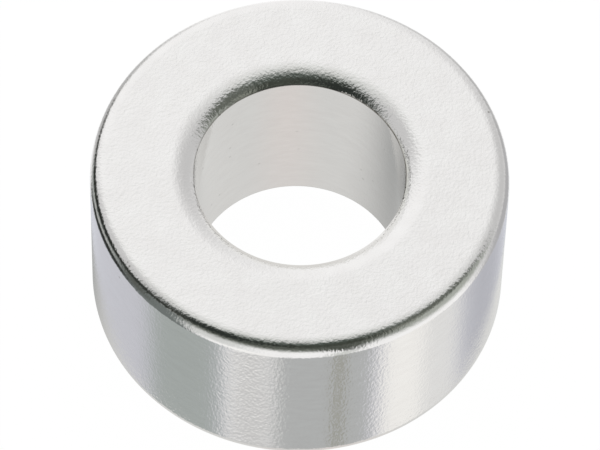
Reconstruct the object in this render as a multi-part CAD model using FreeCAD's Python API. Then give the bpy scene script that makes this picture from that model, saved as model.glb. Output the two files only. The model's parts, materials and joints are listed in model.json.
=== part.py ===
"""A ring magnet: one sintered ring with a straight bore.

Both outside edges are rounded to a quarter circle. Each bore mouth has a wider, flatter
rounding that leaves the face without a corner and steepens towards the bore, but it stops
short of the bore wall's direction, so that it ends in a crisp lip. The ring is one section
turned round Z.

Millimetres, +Z up, origin at the middle of the lower face.
"""

import FreeCAD
import Part

import math
import os

# Driving dimensions in millimetres, and the mouth's turn in degrees
OUTER_DIAMETER = 20.0
BORE_DIAMETER = 10.1
HEIGHT = 10.1
OUTER_EDGE_RADIUS = 0.8
MOUTH_ARC_RADIUS = 1.7
MOUTH_ARC_TURN = 43.0

# Directions in the section, in degrees from +X towards +Z
OUTWARDS = 0.0
UP = 90.0
DOWN = 270.0
FULL_TURN = 360.0

outer_radius = OUTER_DIAMETER / 2
bore_radius = BORE_DIAMETER / 2

# The mouth's arc starts flush with the face and meets the bore wall at the lip
mouth_width = MOUTH_ARC_RADIUS * math.sin(math.radians(MOUTH_ARC_TURN))


def corner(centre_x, centre_z, radius, start, end):
    """One rounded corner of the section: an arc between two directions."""
    points = []
    for direction in (start, (start + end) / 2, end):
        angle = math.radians(direction)
        points.append(FreeCAD.Vector(
            centre_x + radius * math.cos(angle), 0, centre_z + radius * math.sin(angle)))
    return Part.Arc(*points)


def ring_section():
    """The closed section on +X: four rounded corners, with a straight run from each to the next."""
    edge_x = outer_radius - OUTER_EDGE_RADIUS
    mouth_x = bore_radius + mouth_width
    corners = [
        corner(mouth_x, MOUTH_ARC_RADIUS, MOUTH_ARC_RADIUS, DOWN - MOUTH_ARC_TURN, DOWN),
        corner(edge_x, OUTER_EDGE_RADIUS, OUTER_EDGE_RADIUS, DOWN, FULL_TURN),
        corner(edge_x, HEIGHT - OUTER_EDGE_RADIUS, OUTER_EDGE_RADIUS, OUTWARDS, UP),
        corner(mouth_x, HEIGHT - MOUTH_ARC_RADIUS, MOUTH_ARC_RADIUS, UP, UP + MOUTH_ARC_TURN),
    ]
    edges = []
    for this, following in zip(corners, corners[1:] + corners[:1]):
        edges.append(this.toShape())
        edges.append(Part.LineSegment(this.EndPoint, following.StartPoint).toShape())
    return Part.Face(Part.Wire(edges))


def ring_magnet():
    """The ring: its section turned once round Z."""
    axis = FreeCAD.Vector(0, 0, 1)
    return ring_section().revolve(FreeCAD.Vector(0, 0, 0), axis, FULL_TURN)


os.makedirs("parts", exist_ok=True)
ring_magnet().exportStep("parts/ring_magnet.step")
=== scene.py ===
"""A ring magnet in bright nickel plating, with its finish and a small white studio.

The shape is one section turned about the bore's axis. Its outside edges are rounded, and each
bore mouth has a wider rounding that ends in a crisp lip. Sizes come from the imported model.
"""

import json
import math
from collections import namedtuple

import bmesh
import bpy
from mathutils import Matrix, Vector


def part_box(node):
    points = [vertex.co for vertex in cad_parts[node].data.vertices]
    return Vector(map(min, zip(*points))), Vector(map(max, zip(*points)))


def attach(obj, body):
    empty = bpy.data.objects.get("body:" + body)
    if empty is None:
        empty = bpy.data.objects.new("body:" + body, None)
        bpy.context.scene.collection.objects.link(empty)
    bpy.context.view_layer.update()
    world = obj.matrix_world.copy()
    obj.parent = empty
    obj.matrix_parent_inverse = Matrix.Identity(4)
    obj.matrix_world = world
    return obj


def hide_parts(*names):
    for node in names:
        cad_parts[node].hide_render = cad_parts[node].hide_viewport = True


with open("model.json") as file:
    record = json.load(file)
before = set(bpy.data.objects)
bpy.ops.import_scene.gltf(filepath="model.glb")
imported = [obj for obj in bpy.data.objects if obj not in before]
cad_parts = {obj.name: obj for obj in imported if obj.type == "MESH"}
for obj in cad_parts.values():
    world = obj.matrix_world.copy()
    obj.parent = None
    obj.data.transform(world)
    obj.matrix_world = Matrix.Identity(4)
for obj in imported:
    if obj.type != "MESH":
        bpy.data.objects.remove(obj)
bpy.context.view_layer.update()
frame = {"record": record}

bl_info = {
    "name": "Ring Magnet",
    "version": (1, 0, 0),
    "blender": (4, 5, 0),
    "location": "3D View > Sidebar > Ring Magnet",
    "description": "Models a nickel-plated ring magnet, its finish and a white studio",
    "category": "Add Mesh",
}

MM = 0.001
NODE = "ring_magnet"
BODY = "root"


def mount(name):
    """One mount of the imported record."""
    for entry in frame["record"]["mounts"]:
        if entry["name"] == name:
            return entry
    raise RuntimeError(f"the record has no mount named {name}")


# The ring's main sizes, in metres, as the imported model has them
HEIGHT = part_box(NODE)[1][2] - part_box(NODE)[0][2]
OUTER_RADIUS = mount("outer_wall")["dims"]["r_mm"] * MM
BORE_RADIUS = mount("bore")["dims"]["r_mm"] * MM
EDGE_RADIUS = (HEIGHT - mount("outer_wall")["dims"]["length_mm"] * MM) / 2
MOUTH_DEPTH = (HEIGHT - mount("bore")["dims"]["length_mm"] * MM) / 2

# How many steps or cuts divide each stretch of the section, and its whole turn round the axis
EDGE_STEPS = 18
MOUTH_STEPS = 12
LIP_STEPS = 3
FACE_CUTS = 11
WALL_CUTS = 15
BORE_CUTS = 11
STEPS_ROUND = 720
# Places closer than this are the same place
NEAR = 0.001 * MM
# Corners sharper than this stay crisp
CRISP_ANGLE = math.radians(30)

# Radii at which the grain's strength changes: from the bore's wall to its mouth, from there to the flat
# face, and from the outside edge to the outer wall
MOUTH_GRAIN_START = BORE_RADIUS + 0.1 * MM
MOUTH_GRAIN_END = BORE_RADIUS + 0.5 * MM
FACE_GRAIN_START = BORE_RADIUS + 1.2 * MM
FACE_GRAIN_END = OUTER_RADIUS - 0.6 * MM
WALL_GRAIN_START = OUTER_RADIUS - 0.05 * MM

# The painted shade along the lips, a dark line that stands in for the dark surroundings that their
# small rounding mirrors: where it begins and where it is full, by the height above or below the
# ring's middle, by the radius, and by the place across and back. It is strongest on the right.
LIP_HEIGHT = HEIGHT / 2 - MOUTH_DEPTH
PAINTED_LIP_SHADE_HEIGHTS = (LIP_HEIGHT - 0.03 * MM, LIP_HEIGHT - 0.02 * MM)
PAINTED_LIP_SHADE_RADII = (BORE_RADIUS + 0.06 * MM, BORE_RADIUS + 0.03 * MM)
PAINTED_LIP_SHADE_ACROSS = (-12 * MM, 4 * MM)
PAINTED_LIP_SHADE_BACK = (-3.4 * MM, -1.5 * MM)

# Faint clouds where the plating's colour drifts: their size in millimetres, the levels of noise at which
# they begin and are full, and how far the colour drifts at most
CLOUD_WIDTH = 1.0
CLOUD_HEIGHT = 0.3125
CLOUD_START = 0.3
CLOUD_FULL = 0.7
CLOUD_SHARE = 0.5

# Small marks that the photo shows, by their radius and their middles in millimetres: faint pits in the
# bore, and dark flecks on its lip, on the outside edges and on the outer wall
# Each mark stands for a small pit or dent, drawn only in colour: its darker middle is painted shade
PIT_SHADE_RADIUS = 0.11
PIT_SHADES = (
    (-3.3, 3.8, 7.9), (-3.4, 3.7, 5.9), (-3.4, 3.7, 5.1), (-0.2, 5.0, 5.5), (-0.1, 5.0, 3.9),
    (-2.0, 4.6, 3.1), (3.0, 4.1, 3.7), (3.1, 4.0, 3.0), (3.6, 3.6, 3.5), (-3.9, 3.2, 2.4),
    (-4.3, 2.7, 2.3), (4.0, 3.0, 7.3),
)
# The dark flecks are painted shade in small dents as well
DENT_SHADE_RADIUS = 0.09
DENT_SHADES = (
    (-4.7, 1.9, 6.9), (-3.9, 3.2, 9.65), (4.15, 2.9, 9.65), (-4.9, 1.2, 9.65), (-8.4, -5.45, 8.7),
    (-9.1, -4.1, 9.3), (-7.9, -5.6, 10.0), (-8.0, -5.4, 10.05), (8.75, 4.35, 10.0), (8.95, 3.6, 10.0),
)

# The studio's floor is plain white to the camera, apart from a small share of its own shading, which
# keeps the ring's shadow
FLOOR_RADIUS = 0.6
FLOOR_WHITE = 1.02
FLOOR_WHITE_SHARE = 0.97
# Sides of the round floor and of each round card near the ring
ROUND_SIDES = 96
# The cards in the world are broad, so a small map of it is enough to aim its light
WORLD_MAP_SIZE = 512

# What the plating mirrors. The studio is white all round, and soft-edged cards stand in front of it.
# Places are in degrees: across from the camera's side towards +X, and up from the horizon. A later
# card covers an earlier one. A panel lies between two sides and two heights, with a soft width across
# and upright, and its sides may lean by so many degrees across to each degree up. A round card has a
# middle, half a width, half a height, a softness from 0 to 1 and a tilt that lifts its right end.
Panel = namedtuple("Panel", "name left right low high soft_across soft_up lean colour")
Round = namedtuple("Round", "name across up half_width half_height softness tilt colour")
CARDS = (
    Round("ceiling", 0, 55, 100, 55, 0.6, 0, "#D8DAD7"),
    Panel("left wall", -126, -66, 20, 64, 40, 30, 0, "#D0D0D0"),
    Panel("right wall", 74, 160, 0, 60, 60, 40, 0, "#CDCDCD"),
    Round("dim room, outer part", 7, 55, 73, 27.5, 0.6, 3, "#555D57"),
    Panel("left haze", -58, -20, -40, 16, 20, 40, 0, "#DADCDA"),
    Panel("dim room, lower part", -54, 90, 6, 50, 18, 32, 0, "#71756E"),
    Panel("dim room, lower right part", 46, 92, -12, 40, 30, 54, 0, "#AFB3AC"),
    Round("dim room, right part", 65, 46, 22, 15, 0.6, 0, "#62665F"),
    Panel("dim room, middle", -56, 44, 31, 62, 16, 26, 0, "#3E423B"),
    Round("dim room, left part", -35, 44, 24, 18, 0.65, 0, "#2E322F"),
    Round("dim room, pale spot", 54, 36, 7, 9, 0.8, 0, "#84877E"),
    Round("dim room, pale middle", -8, 36, 12, 8, 0.8, 0, "#575C55"),
    Panel("lens hood, soft side", 20, 32, -10, 40, 12, 50, -0.1, "#535750"),
    Panel("lens hood", 16, 25, -24, 40, 4, 70, -0.19, "#4C5049"),
    Panel("lens hood, lower end", 16, 28, -60, -26, 6, 14, 0, "#D7D9D6"),
    Round("left haze, far", -135, -5, 24, 18, 0.8, 0, "#B2B2B0"),
    Panel("left side", -158, -130, -40, -4, 20, 14, 0, "#BFBFBF"),
    Panel("left flag", -123, -84, -62, 2, 14, 14, 0, "#7E8482"),
    Panel("left flag, foot", -136, -78, -66, -44, 12, 8, 0, "#636967"),
    Round("left flag, pale spot", -104, -16, 16, 9, 0.6, 0, "#B2B4B1"),
    Panel("left shade", -86, -48, -64, 14, 15, 14, 0.08, "#737977"),
    Round("left stand", -76, -8, 8, 26, 0.6, 0, "#5B5E5A"),
    Round("left boom, far part", -105, 9, 35.5, 14, 0.45, 8, "#2E312D"),
    Round("left boom, near part", -70, 20, 20, 10.5, 0.5, 34, "#343733"),
    Round("left clamp", -105, -38, 18, 11.5, 0.45, 14, "#303230"),
    Round("left gap", -139, -43, 13, 4, 0.6, 45, "#F6F6F6"),
    Panel("right flag, edge", 88, 172, -40, 2, 20, 16, 0, "#D2D2D2"),
    Panel("right flag, middle", 104, 156, -24, 2, 14, 16, 0, "#BBBBBB"),
    Panel("right flag, near part", 100, 138, -58, -4, 18, 14, 0, "#B6B6B8"),
    Round("right gap", 154, -43, 7, 9, 0.6, 0, "#FFFFFF"),
    Panel("table", -180, 180, -90, -55, 1, 3, 0, "#C9CAD1"),
    Panel("table, far side", 156, 208, -90, -53, 20, 4, 0, "#CFD1D8"),
    Panel("table, left shade", -90, -42, -90, -55, 22, 3, 0, "#A9AFAD"),
    Panel("table, front shade", -7, 44, -90, -51, 10, 8, 0, "#B7B9B9"),
    Panel("table, foot of the front shade", -14, 4, -90, -56, 10, 5, 0, "#B7B9B9"),
    Panel("table, bright stripe", -38, -12, -62, -40, 16, 2, 0, "#FFFFFD"),
    Panel("table, front left", -36, -12, -90, -58, 16, 8, 0, "#CBCBCB"),
    Panel("table, olive strip", 23, 28, -90, -51, 6, 8, 0, "#A0A097"),
    Panel("table, near the bright side", 60, 106, -90, -54, 24, 4, 0, "#E6E6E5"),
    Panel("table, bright side", 50, 78, -90, -50, 16, 6, 0, "#F9F8F5"),
    Panel("table, right shade", 114, 152, -90, -55, 30, 3, 0, "#B8B9C0"),
    Panel("table, under the ring", -180, 180, -90, -67, 1, 6, 0, "#B4B5B6"),
)

# Glowing round cards near the ring that only mirrors see, as painted reflections that light nothing
# else. Each lies flat or is turned upright, has half a width and half a height, and may have soft spots
# of other colours. Places and sizes are in metres.
NearCard = namedtuple("NearCard", "name middle half_size turned colour spots")
Spot = namedtuple("Spot", "middle radius colour")
FLAT = (0, 0, 0)
FACING_X = (0, math.pi / 2, 0)
FACING_Y = (math.pi / 2, 0, 0)
PAPER_GLOW_Z = -20 * MM
SATIN_GLOW_Z = HEIGHT - MOUTH_DEPTH - 0.03 * MM
NEAR_CARDS = (
    # The bore's wall mirrors this glowing card, a painted reflection that stands in for the paper under the
    # ring. Its right side mirrors the card's far left part, which holds a painted shadow, and its middle
    # mirrors the near part, which holds a painted pale spot.
    NearCard("paper_glow_with_painted_shadow", (0, 0, PAPER_GLOW_Z), (19.5 * MM, 19.5 * MM), FLAT, "#DADAD8", (
        Spot((-11 * MM, 15 * MM, PAPER_GLOW_Z), 22 * MM, "#A5A6A5"),
        Spot((4 * MM, -12 * MM, PAPER_GLOW_Z), 12 * MM, "#E0DBD8"))),
    # The near lip mirrors a glowing card, a painted reflection of the satin wall across the bore, which is
    # brightest at its right end under a painted highlight
    NearCard("painted_satin_reflection", (-0.2 * MM, -2.6 * MM, SATIN_GLOW_Z), (5.6 * MM, 3.3 * MM), FLAT, "#E0DFDC", (
        Spot((5.4 * MM, -2.6 * MM, SATIN_GLOW_Z), 5 * MM, "#FFFFFF"),)),
    # The right part of the lip mirrors a glowing card over the bore, a painted reflection of pale haze
    NearCard(
        "painted_haze_over_bore", (1.2 * MM, 1.6 * MM, HEIGHT + 0.3 * MM), (0.85 * MM, 2.2 * MM),
        FACING_X, "#D4D5D1", ()),
    # A white glowing strip over the bore, another painted reflection that only mirrors see
    NearCard(
        "painted_white_over_bore", (0.3 * MM, 0.3 * MM, HEIGHT + 0.15 * MM), (3.2 * MM, 0.6 * MM),
        FACING_Y, "#F0F0EE", ()),
)

# A Mix node's sockets for two colours and for what they make
COLOUR_A = 6
COLOUR_B = 7
MIXED_COLOUR = 2


def linear(hex_colour):
    """An sRGB hex colour as linear red, green, blue and alpha."""
    channels = [int(hex_colour[start:start + 2], 16) / 255 for start in (1, 3, 5)]
    steps = [c / 12.92 if c <= 0.04045 else ((c + 0.055) / 1.055) ** 2.4 for c in channels]
    return (*steps, 1.0)


class RingShape(bpy.types.PropertyGroup):
    """Sizes of the ring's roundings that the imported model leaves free."""

    mouth_turn: bpy.props.FloatProperty(
        name="Mouth turn",
        description="How far the bore mouth's rounding turns before it stops at the lip",
        default=math.radians(43), min=math.radians(5), max=math.radians(85),
        unit="ROTATION", subtype="ANGLE")
    edge_profile: bpy.props.FloatProperty(
        name="Edge profile",
        description="Form of the outside edges' rounding: 0.5 is a circle and more is squarer",
        default=0.555, min=0.25, max=0.9)
    lip_radius: bpy.props.FloatProperty(
        name="Lip radius",
        description="Rounding that the plating leaves on the lip",
        default=0.02 * MM, min=0.005 * MM, max=0.2 * MM, unit="LENGTH", precision=5)


class Plating(bpy.types.PropertyGroup):
    """The nickel plating's colour and surface."""

    colour: bpy.props.FloatVectorProperty(
        name="Nickel", description="Colour of the plating",
        default=linear("#EAE9E8"), size=4, subtype="COLOR", min=0, max=1)
    # Painted shade: the lips' dark line stands in for the dark surroundings that their small rounding
    # mirrors
    painted_lip_shade: bpy.props.FloatVectorProperty(
        name="Lip line", description="Colour of the dull line along the lips",
        default=linear("#716C65"), size=4, subtype="COLOR", min=0, max=1)
    cloudiness: bpy.props.FloatVectorProperty(
        name="Cloudiness", description="Colour that the plating drifts towards, here and there",
        default=linear("#E3E1E0"), size=4, subtype="COLOR", min=0, max=1)
    # Painted shade in the middle of each small pit
    pit_shade: bpy.props.FloatVectorProperty(
        name="Faint pits", description="Colour in the middle of the bore's faint pits",
        default=linear("#D0CFCD"), size=4, subtype="COLOR", min=0, max=1)
    # Painted shade in the middle of each small dent
    dent_shade: bpy.props.FloatVectorProperty(
        name="Dark flecks", description="Colour in the middle of the dark flecks",
        default=linear("#84827C"), size=4, subtype="COLOR", min=0, max=1)
    roughness: bpy.props.FloatProperty(
        name="Roughness", description="Blur of the plating's reflections",
        default=0.09, min=0, max=1, subtype="FACTOR")
    grain_spacing: bpy.props.FloatProperty(
        name="Grain spacing", description="Distance from one bump of the pressed grain to the next",
        default=0.14 * MM, min=0.05 * MM, max=2 * MM, unit="LENGTH", precision=5)
    grain_height: bpy.props.FloatProperty(
        name="Grain height", description="Height of the grain's bumps on the flat faces",
        default=0.019 * MM, min=0, max=0.1 * MM, unit="LENGTH", precision=6)
    grain_stretch: bpy.props.FloatProperty(
        name="Grain stretch", description="How much longer the grain's bumps are along the bore's axis",
        default=1.55, min=1, max=10)
    mouth_grain: bpy.props.FloatProperty(
        name="Mouth grain", description="Share of the grain that the bore's mouths keep",
        default=0.9, min=0, max=1, subtype="FACTOR")
    wall_grain: bpy.props.FloatProperty(
        name="Wall grain", description="Share of the grain that the smoother outer wall keeps",
        default=0.5, min=0, max=1, subtype="FACTOR")
    bore_grain: bpy.props.FloatProperty(
        name="Bore grain", description="Share of the grain that the bore's smoother wall keeps",
        default=0.25, min=0, max=1, subtype="FACTOR")


class Studio(bpy.types.PropertyGroup):
    """The light, the floor and the camera."""

    brightness: bpy.props.FloatProperty(
        name="Brightness", description="Level of the walls and of the cards, where 1 is white",
        default=1.08, min=0, max=2)
    camera_height: bpy.props.FloatProperty(
        name="Camera height", description="Angle of the camera above the horizon",
        default=math.radians(58.5), unit="ROTATION", subtype="ANGLE")
    camera_roll: bpy.props.FloatProperty(
        name="Camera roll", description="Tilt of the camera about its own line of sight",
        default=math.radians(1.67), unit="ROTATION", subtype="ANGLE")
    camera_distance: bpy.props.FloatProperty(
        name="Camera distance", description="Distance from the lens to the upper face's centre",
        default=280.3 * MM, unit="LENGTH")
    aim_below: bpy.props.FloatProperty(
        name="Aim below", description="How far under the upper face's centre the camera aims",
        default=2.653 * MM, unit="LENGTH", precision=5)
    lens: bpy.props.FloatProperty(
        name="Lens", description="Focal length of the camera", default=353.6, unit="CAMERA")


def pick(piece, wanted):
    """Selects, in edit mode, only the vertices whose place is wanted."""
    bpy.ops.mesh.select_all(action="DESELECT")
    shape = bmesh.from_edit_mesh(piece.data)
    for vertex in shape.verts:
        vertex.select = wanted(vertex.co)
    shape.select_flush(True)
    bmesh.update_edit_mesh(piece.data)


def ring_section(shape):
    """The section as a closed line of edges on the +X side, from its four corners."""
    mouth_radius = MOUTH_DEPTH / (1 - math.cos(shape.mouth_turn))
    mouth_x = BORE_RADIUS + mouth_radius * math.sin(shape.mouth_turn)
    width = OUTER_RADIUS - mouth_x
    bpy.ops.mesh.primitive_plane_add(
        size=1, location=(mouth_x + width / 2, 0, HEIGHT / 2), rotation=(math.pi / 2, 0, 0))
    piece = bpy.context.object
    piece.name = "plated_ring"
    piece.data.name = "plated_ring"
    piece.scale = (width, HEIGHT, 1)
    bpy.ops.object.transform_apply(location=True, rotation=True, scale=True)
    bpy.ops.object.mode_set(mode="EDIT")
    bpy.ops.mesh.select_mode(type="VERT")

    pick(piece, lambda place: place.x > OUTER_RADIUS - NEAR)
    bpy.ops.mesh.bevel(
        offset=EDGE_RADIUS, segments=EDGE_STEPS, profile=shape.edge_profile, affect="VERTICES")
    bpy.ops.mesh.select_all(action="SELECT")
    bpy.ops.mesh.delete(type="ONLY_FACE")
    pick(piece, lambda place: place.x < mouth_x + NEAR)
    bpy.ops.mesh.delete(type="EDGE")

    for face_z, centre_z, turn in (
            (HEIGHT, HEIGHT - mouth_radius, shape.mouth_turn), (0, mouth_radius, -shape.mouth_turn)):
        pick(piece, lambda place: place.x < mouth_x + NEAR and abs(place.z - face_z) < NEAR)
        bpy.ops.mesh.spin(
            steps=MOUTH_STEPS, angle=turn, center=(mouth_x, 0, centre_z), axis=(0, 1, 0))
    pick(piece, lambda place: place.x < BORE_RADIUS + NEAR)
    bpy.ops.mesh.edge_face_add()

    edge_x = OUTER_RADIUS - EDGE_RADIUS
    runs = (
        (FACE_CUTS, lambda place: place.z > HEIGHT - NEAR and mouth_x - NEAR < place.x < edge_x + NEAR),
        (FACE_CUTS, lambda place: place.z < NEAR and mouth_x - NEAR < place.x < edge_x + NEAR),
        (WALL_CUTS, lambda place: place.x > OUTER_RADIUS - NEAR),
        (BORE_CUTS, lambda place: place.x < BORE_RADIUS + NEAR),
    )
    for cuts, on_run in runs:
        pick(piece, on_run)
        bpy.ops.mesh.subdivide(number_cuts=cuts)
    return piece


def turn_section(piece):
    """Turns the section once round Z and closes it, as on a lathe."""
    bpy.ops.object.mode_set(mode="OBJECT")
    turn = piece.modifiers.new("turn", "SCREW")
    turn.axis = "Z"
    turn.angle = math.tau
    turn.steps = STEPS_ROUND
    turn.render_steps = STEPS_ROUND
    turn.use_merge_vertices = True
    turn.merge_threshold = NEAR
    bpy.ops.object.modifier_apply(modifier="turn")
    bpy.ops.object.mode_set(mode="EDIT")
    bpy.ops.mesh.select_all(action="SELECT")
    bpy.ops.mesh.remove_doubles(threshold=NEAR)
    bpy.ops.mesh.normals_make_consistent(inside=False)


def round_lips(piece, radius):
    """Rounds both lips a little, as plating does to any corner."""
    for lip_z in (MOUTH_DEPTH, HEIGHT - MOUTH_DEPTH):
        pick(piece, lambda place: place.xy.length < BORE_RADIUS + NEAR and abs(place.z - lip_z) < NEAR)
        bpy.ops.mesh.bevel(offset=radius, segments=LIP_STEPS, affect="EDGES")


def weigh_normals(piece):
    """Leans each normal towards its larger faces, so that the flats shade flat right up to the roundings.

    Faces as small as these count for nothing, so the piece is enlarged for it and made small again.
    """
    for factor in (1 / MM, MM):
        piece.scale = (factor, factor, factor)
        bpy.ops.object.transform_apply(location=False, rotation=False, scale=True)
        if factor > 1:
            piece.modifiers.new("true_flats", "WEIGHTED_NORMAL")
            bpy.ops.object.modifier_apply(modifier="true_flats")


class RINGMAGNET_OT_plated_ring(bpy.types.Operator):
    """Model the ring: its rounded section turned about the bore's axis"""

    bl_idname = "ringmagnet.plated_ring"
    bl_label = "Plated Ring"

    def execute(self, context):
        bpy.ops.object.select_all(action="DESELECT")
        shape = context.scene.ring_magnet_shape
        piece = ring_section(shape)
        turn_section(piece)
        round_lips(piece, shape.lip_radius)
        bpy.ops.object.mode_set(mode="OBJECT")
        bpy.ops.object.shade_smooth_by_angle(angle=CRISP_ANGLE)
        weigh_normals(piece)
        piece.data.materials.append(nickel_plating(context.scene.ring_magnet_plating))
        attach(piece, BODY)
        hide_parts(NODE)
        return {"FINISHED"}


def add_node(tree, kind, inputs, **settings):
    """Adds a shader node with its settings. Each input is a value or the socket that feeds it."""
    node = tree.nodes.new("ShaderNode" + kind)
    for name, value in settings.items():
        setattr(node, name, value)
    for name, source in inputs.items():
        if isinstance(source, bpy.types.NodeSocket):
            tree.links.new(source, node.inputs[name])
        else:
            node.inputs[name].default_value = source
    return node


def empty_tree(owner):
    """The node tree of a new material or world, cleared."""
    owner.use_nodes = True
    owner.node_tree.nodes.clear()
    return owner.node_tree


def grain_relief(tree, plating, in_mm, radius):
    """The pressed surface's grain as relief, drawn out along the bore's axis, the way it was pressed."""
    drawn_out = add_node(
        tree, "VectorMath", {0: in_mm, 1: (1.0, 1.0, 1 / plating.grain_stretch)}, operation="MULTIPLY")
    # The finest grain can't show in the picture, so all of it is drawn as coarse as its larger bumps
    grain = add_node(
        tree, "TexNoise",
        {"Vector": drawn_out.outputs["Vector"], "Scale": MM / plating.grain_spacing, "Detail": 1.0,
         "Roughness": 0.6})
    # Both walls were ground after pressing, so the grain shows best on the faces and the roundings
    strength = plating.bore_grain
    for start, end, share in (
            (BORE_RADIUS, MOUTH_GRAIN_START, plating.mouth_grain),
            (MOUTH_GRAIN_END, FACE_GRAIN_START, 1.0),
            (FACE_GRAIN_END, WALL_GRAIN_START, plating.wall_grain)):
        strength = add_node(
            tree, "MapRange",
            {"Value": radius, "From Min": start, "From Max": end, "To Min": strength,
             "To Max": share}).outputs["Result"]
    return add_node(
        tree, "Bump",
        {"Height": grain.outputs["Fac"], "Strength": strength,
         "Distance": plating.grain_height}).outputs["Normal"]


def painted_lip_shade_share(tree, place, radius):
    """How much of the painted shade along the lips covers each place, from 0 to 1."""
    parts = add_node(tree, "SeparateXYZ", {0: place})
    from_middle = add_node(
        tree, "Math", {0: parts.outputs["Z"], 1: HEIGHT / 2}, operation="SUBTRACT")
    height = add_node(tree, "Math", {0: from_middle.outputs[0]}, operation="ABSOLUTE")
    share = 1.0
    for source, (start, full) in (
            (height.outputs[0], PAINTED_LIP_SHADE_HEIGHTS),
            (radius, PAINTED_LIP_SHADE_RADII),
            (parts.outputs["X"], PAINTED_LIP_SHADE_ACROSS),
            (parts.outputs["Y"], PAINTED_LIP_SHADE_BACK)):
        reached = add_node(tree, "MapRange", {"Value": source, "From Min": start, "From Max": full})
        share = add_node(
            tree, "Math", {0: share, 1: reached.outputs["Result"]}, operation="MULTIPLY").outputs[0]
    return share


def cloud_share(tree, in_mm):
    """How far the colour drifts at each place, in faint clouds that are wider than they are high."""
    spread = add_node(
        tree, "VectorMath", {0: in_mm, 1: (1 / CLOUD_WIDTH, 1 / CLOUD_WIDTH, 1 / CLOUD_HEIGHT)},
        operation="MULTIPLY")
    clouds = add_node(
        tree, "TexNoise", {"Vector": spread.outputs["Vector"], "Scale": 1.0, "Detail": 2.0})
    return add_node(
        tree, "MapRange",
        {"Value": clouds.outputs["Fac"], "From Min": CLOUD_START, "From Max": CLOUD_FULL,
         "To Max": CLOUD_SHARE}).outputs["Result"]


def mark_share(tree, in_mm, middles, radius):
    """How much of the nearest small mark covers each place, from 0 at its rim to 1 in its middle."""
    nearest = radius
    for middle in middles:
        away = add_node(tree, "VectorMath", {0: in_mm, 1: middle}, operation="DISTANCE")
        nearest = add_node(
            tree, "Math", {0: nearest, 1: away.outputs["Value"]}, operation="MINIMUM").outputs[0]
    return add_node(
        tree, "MapRange", {"Value": nearest, "From Min": radius, "From Max": 0},
        interpolation_type="SMOOTHSTEP").outputs["Result"]


def nickel_plating(plating):
    """Bright nickel, plated over a magnet that was pressed, tumbled and ground.

    It mirrors its surroundings in a faintly warm grey. A fine grain breaks them up on the faces and the
    roundings, and less on the two walls.
    """
    material = bpy.data.materials.new("nickel_plating")
    tree = empty_tree(material)
    place = add_node(tree, "TexCoord", {}).outputs["Object"]
    in_mm = add_node(tree, "VectorMath", {0: place, "Scale": 1 / MM}, operation="SCALE").outputs["Vector"]
    level = add_node(tree, "VectorMath", {0: place, 1: (1.0, 1.0, 0.0)}, operation="MULTIPLY")
    radius = add_node(
        tree, "VectorMath", {0: level.outputs["Vector"]}, operation="LENGTH").outputs["Value"]
    colour = plating.colour
    # The plating's colour gets painted shade along the lips, faint random clouds, and painted shade in
    # small pits and dents
    for share, other_colour in (
            (painted_lip_shade_share(tree, place, radius), plating.painted_lip_shade),
            (cloud_share(tree, in_mm), plating.cloudiness),
            (mark_share(tree, in_mm, PIT_SHADES, PIT_SHADE_RADIUS), plating.pit_shade),
            (mark_share(tree, in_mm, DENT_SHADES, DENT_SHADE_RADIUS), plating.dent_shade)):
        colour = add_node(
            tree, "Mix", {0: share, COLOUR_A: colour, COLOUR_B: other_colour},
            data_type="RGBA").outputs[MIXED_COLOUR]
    surface = add_node(
        tree, "BsdfPrincipled",
        {"Base Color": colour, "Metallic": 1.0, "Roughness": plating.roughness,
         "Normal": grain_relief(tree, plating, in_mm, radius)})
    add_node(tree, "OutputMaterial", {"Surface": surface.outputs["BSDF"]})
    return material


def floor_paper():
    """White paper that keeps a faint shadow and looks plain white to the camera."""
    material = bpy.data.materials.new("floor_paper")
    tree = empty_tree(material)
    ray = add_node(tree, "LightPath", {})
    share = add_node(
        tree, "Math", {0: ray.outputs["Is Camera Ray"], 1: FLOOR_WHITE_SHARE}, operation="MULTIPLY")
    paper = add_node(tree, "BsdfDiffuse", {"Color": linear("#FAFAFA")})
    white = add_node(tree, "Emission", {"Color": linear("#FFFFFF"), "Strength": FLOOR_WHITE})
    mixed = add_node(
        tree, "MixShader",
        {0: share.outputs[0], 1: paper.outputs["BSDF"], 2: white.outputs["Emission"]})
    add_node(tree, "OutputMaterial", {"Surface": mixed.outputs["Shader"]})
    return material


def panel_share(tree, panel, across, up):
    """How much of a panel covers each direction, from 0 to 1."""
    if panel.lean:
        across = add_node(
            tree, "Math", {0: up, 1: -panel.lean, 2: across}, operation="MULTIPLY_ADD").outputs[0]
    share = 1.0
    for angle, low, high, soft in (
            (across, panel.left, panel.right, panel.soft_across),
            (up, panel.low, panel.high, panel.soft_up)):
        middle = math.radians((low + high) / 2)
        half = math.radians((high - low) / 2)
        edge = math.radians(soft) / 2
        offset = add_node(tree, "Math", {0: angle, 1: middle}, operation="SUBTRACT")
        wrapped = add_node(
            tree, "Math", {0: offset.outputs[0], 1: math.pi, 2: -math.pi}, operation="WRAP")
        away = add_node(tree, "Math", {0: wrapped.outputs[0]}, operation="ABSOLUTE")
        within = add_node(
            tree, "MapRange",
            {"Value": away.outputs[0], "From Min": half + edge, "From Max": half - edge},
            interpolation_type="SMOOTHSTEP")
        share = add_node(
            tree, "Math", {0: share, 1: within.outputs["Result"]}, operation="MULTIPLY").outputs[0]
    return share


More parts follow.
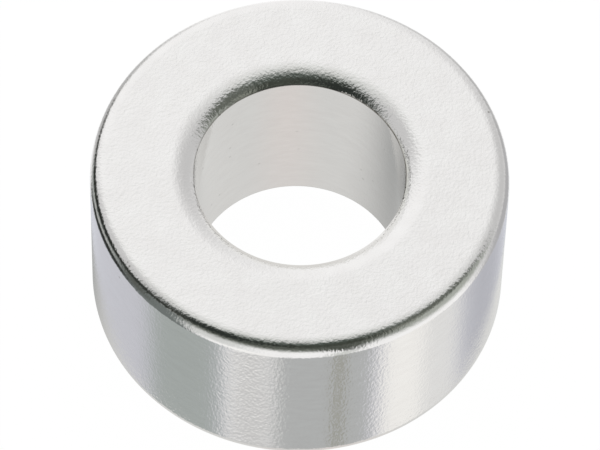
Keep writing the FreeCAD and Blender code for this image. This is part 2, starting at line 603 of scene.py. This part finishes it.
def round_share(tree, card, direction):
    """How much of a round card covers each direction, from 0 to 1.

    The spread is the tangent of half the angle from the card's middle, over half the card's size. It is
    about 0.5 at the card's edge, and it keeps a broad card's outline round.
    """
    turned = (
        Matrix.Rotation(math.radians(card.across), 3, "Z") @ Matrix.Rotation(-math.radians(card.up), 3, "X")
        @ Matrix.Rotation(-math.radians(card.tilt), 3, "Y")).to_euler("XYZ")
    size = (math.radians(card.half_width), 1, math.radians(card.half_height))
    facing = add_node(
        tree, "Mapping", {"Vector": direction, "Rotation": turned, "Scale": size},
        vector_type="TEXTURE")
    parts = add_node(tree, "SeparateXYZ", {0: facing.outputs[0]})
    flat = add_node(tree, "CombineXYZ", {"X": parts.outputs["X"], "Y": parts.outputs["Z"]})
    away = add_node(tree, "VectorMath", {0: flat.outputs[0]}, operation="LENGTH")
    depth = add_node(tree, "Math", {0: 1.0, 1: parts.outputs["Y"]}, operation="SUBTRACT")
    spread = add_node(
        tree, "Math", {0: away.outputs["Value"], 1: depth.outputs[0]}, operation="DIVIDE")
    return add_node(
        tree, "MapRange",
        {"Value": spread.outputs[0], "From Min": (1 + card.softness) / 2,
         "From Max": (1 - card.softness) / 2},
        interpolation_type="SMOOTHSTEP").outputs["Result"]


def studio_world(studio):
    """White walls all round with the cards in front. The camera sees them plain white."""
    world = bpy.data.worlds.new("studio")
    bpy.context.scene.world = world
    tree = empty_tree(world)
    direction = add_node(tree, "TexCoord", {}).outputs["Generated"]
    parts = add_node(tree, "SeparateXYZ", {0: direction})
    towards = add_node(tree, "Math", {0: parts.outputs["Y"], 1: -1.0}, operation="MULTIPLY")
    across = add_node(
        tree, "Math", {0: parts.outputs["X"], 1: towards.outputs[0]}, operation="ARCTAN2").outputs[0]
    up = add_node(tree, "Math", {0: parts.outputs["Z"]}, operation="ARCSINE").outputs[0]
    colour = linear("#FFFFFF")
    for card in CARDS:
        if isinstance(card, Panel):
            share = panel_share(tree, card, across, up)
        else:
            share = round_share(tree, card, direction)
        colour = add_node(
            tree, "Mix", {0: share, COLOUR_A: colour, COLOUR_B: linear(card.colour)},
            data_type="RGBA", label=card.name).outputs[MIXED_COLOUR]
    lit = add_node(tree, "Background", {"Color": colour, "Strength": studio.brightness})
    seen = add_node(tree, "Background", {"Color": linear("#FFFFFF"), "Strength": 1.0})
    ray = add_node(tree, "LightPath", {})
    mixed = add_node(
        tree, "MixShader",
        {0: ray.outputs["Is Camera Ray"], 1: lit.outputs["Background"], 2: seen.outputs["Background"]})
    add_node(tree, "OutputWorld", {"Surface": mixed.outputs["Shader"]})
    world.cycles.sampling_method = "MANUAL"
    world.cycles.sample_map_resolution = WORLD_MAP_SIZE


def glowing_card(card, brightness):
    """A card that shines as the walls do, in its own colour with its spots of painted shade and light."""
    material = bpy.data.materials.new(card.name)
    tree = empty_tree(material)
    place = add_node(tree, "TexCoord", {}).outputs["Object"]
    colour = linear(card.colour)
    for spot in card.spots:
        away = add_node(tree, "VectorMath", {0: place, 1: spot.middle}, operation="DISTANCE")
        share = add_node(
            tree, "MapRange",
            {"Value": away.outputs["Value"], "From Min": spot.radius, "From Max": 0},
            interpolation_type="SMOOTHSTEP")
        colour = add_node(
            tree, "Mix",
            {0: share.outputs["Result"], COLOUR_A: colour, COLOUR_B: linear(spot.colour)},
            data_type="RGBA").outputs[MIXED_COLOUR]
    glow = add_node(tree, "Emission", {"Color": colour, "Strength": brightness})
    add_node(tree, "OutputMaterial", {"Surface": glow.outputs["Emission"]})
    return material


def near_card(card, brightness):
    """A round glowing card near the ring that only mirrors see, as a painted reflection."""
    bpy.ops.mesh.primitive_circle_add(
        vertices=ROUND_SIDES, radius=1, fill_type="NGON", location=card.middle, rotation=card.turned)
    sheet = bpy.context.object
    sheet.name = card.name
    sheet.scale = (*card.half_size, 1)
    bpy.ops.object.transform_apply(location=True, rotation=True, scale=True)
    sheet.data.materials.append(glowing_card(card, brightness))
    sheet.visible_camera = False
    sheet.visible_diffuse = False
    sheet.visible_shadow = False


def studio_floor():
    """The round paper floor. Mirrors see through it to the cards."""
    bpy.ops.mesh.primitive_circle_add(vertices=ROUND_SIDES, radius=FLOOR_RADIUS, fill_type="NGON")
    floor = bpy.context.object
    floor.name = "floor"
    floor.data.materials.append(floor_paper())
    floor.visible_glossy = False


def studio_camera(studio):
    """The camera, as it was solved from the outlines of the rim and the bore."""
    along = Vector((0, math.cos(studio.camera_height), -math.sin(studio.camera_height)))
    level = Vector((1, 0, 0))
    upward = level.cross(along)
    right = math.cos(studio.camera_roll) * level + math.sin(studio.camera_roll) * upward
    up = along.cross(right) * -1
    data = bpy.data.cameras.new("camera")
    data.lens = studio.lens
    camera = bpy.data.objects.new("camera", data)
    bpy.context.scene.collection.objects.link(camera)
    place = Vector((0, 0, HEIGHT)) - studio.aim_below * up - studio.camera_distance * along
    turned = Matrix((right, up, -along)).transposed().to_4x4()
    camera.matrix_world = Matrix.Translation(place) @ turned
    bpy.context.scene.camera = camera


class RINGMAGNET_OT_studio(bpy.types.Operator):
    """Set up the floor, the light and the camera"""

    bl_idname = "ringmagnet.studio"
    bl_label = "Studio"

    def execute(self, context):
        bpy.ops.object.select_all(action="DESELECT")
        studio = context.scene.ring_magnet_studio
        studio_floor()
        for card in NEAR_CARDS:
            near_card(card, studio.brightness)
        studio_world(studio)
        studio_camera(studio)
        context.scene.view_settings.view_transform = "Standard"
        return {"FINISHED"}


class RINGMAGNET_PT_sidebar(bpy.types.Panel):
    """Buttons and settings of the ring magnet"""

    bl_idname = "RINGMAGNET_PT_sidebar"
    bl_label = "Ring Magnet"
    bl_space_type = "VIEW_3D"
    bl_region_type = "UI"
    bl_category = "Ring Magnet"

    def draw(self, context):
        scene = context.scene
        for operator, settings in (
                (RINGMAGNET_OT_plated_ring, (scene.ring_magnet_shape, scene.ring_magnet_plating)),
                (RINGMAGNET_OT_studio, (scene.ring_magnet_studio,))):
            box = self.layout.box()
            for group in settings:
                for name in group.__annotations__:
                    box.prop(group, name)
            box.operator(operator.bl_idname)


CLASSES = (
    RingShape, Plating, Studio, RINGMAGNET_OT_plated_ring, RINGMAGNET_OT_studio, RINGMAGNET_PT_sidebar)


def register():
    for each in CLASSES:
        bpy.utils.register_class(each)
    bpy.types.Scene.ring_magnet_shape = bpy.props.PointerProperty(type=RingShape)
    bpy.types.Scene.ring_magnet_plating = bpy.props.PointerProperty(type=Plating)
    bpy.types.Scene.ring_magnet_studio = bpy.props.PointerProperty(type=Studio)


def unregister():
    del bpy.types.Scene.ring_magnet_studio
    del bpy.types.Scene.ring_magnet_plating
    del bpy.types.Scene.ring_magnet_shape
    for each in reversed(CLASSES):
        bpy.utils.unregister_class(each)


def main():
    """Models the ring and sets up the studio."""
    register()
    bpy.ops.ringmagnet.plated_ring()
    bpy.ops.ringmagnet.studio()


if __name__ == "__main__":
    main()
